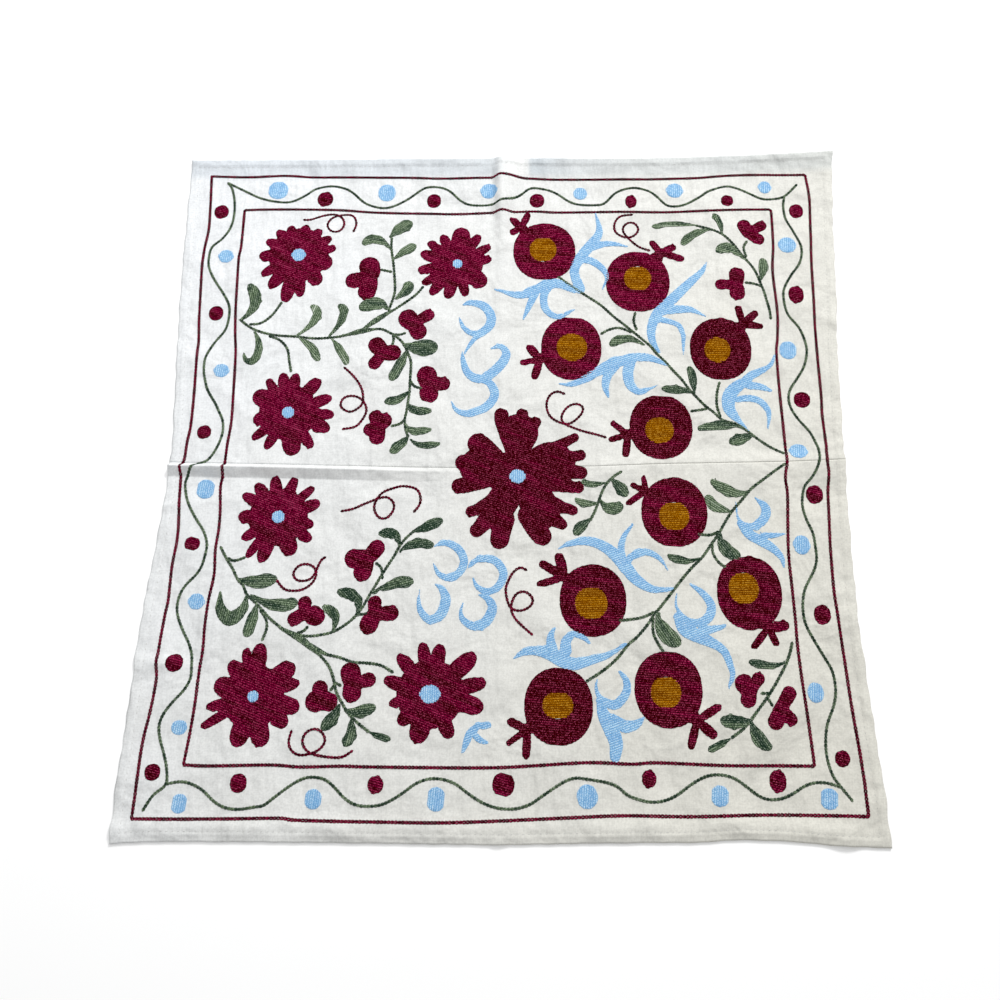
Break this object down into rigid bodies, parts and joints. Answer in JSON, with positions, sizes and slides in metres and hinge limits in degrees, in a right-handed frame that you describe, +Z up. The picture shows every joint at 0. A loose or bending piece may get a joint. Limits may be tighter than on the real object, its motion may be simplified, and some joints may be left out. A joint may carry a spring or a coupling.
{
  "type": "suzani embroidered textile",
  "caption": "Square embroidered cotton cloth of two joined panels, lying spread out with soft storage folds and a vine border.",
  "frame": {"origin": "middle of the cloth's outline box, on the surface it lies on", "axes": "+Z up from the surface, +Y along the upright middle fold to the back edge, +X along the seam to the right"},
  "size_m": [1.0117, 1.023, 0.0134],
  "materials": {
    "cotton": "plain woven off-white cotton, matte",
    "burgundy_silk": "couched silk thread, soft sheen",
    "blue_silk": "couched silk thread, soft sheen",
    "green_silk": "couched silk thread, soft sheen",
    "ochre_silk": "couched silk thread, soft sheen"
  },
  "bodies": {
    "root": {"panel_back": "cotton", "panel_front": "cotton"}
  },
  "joints": []
}
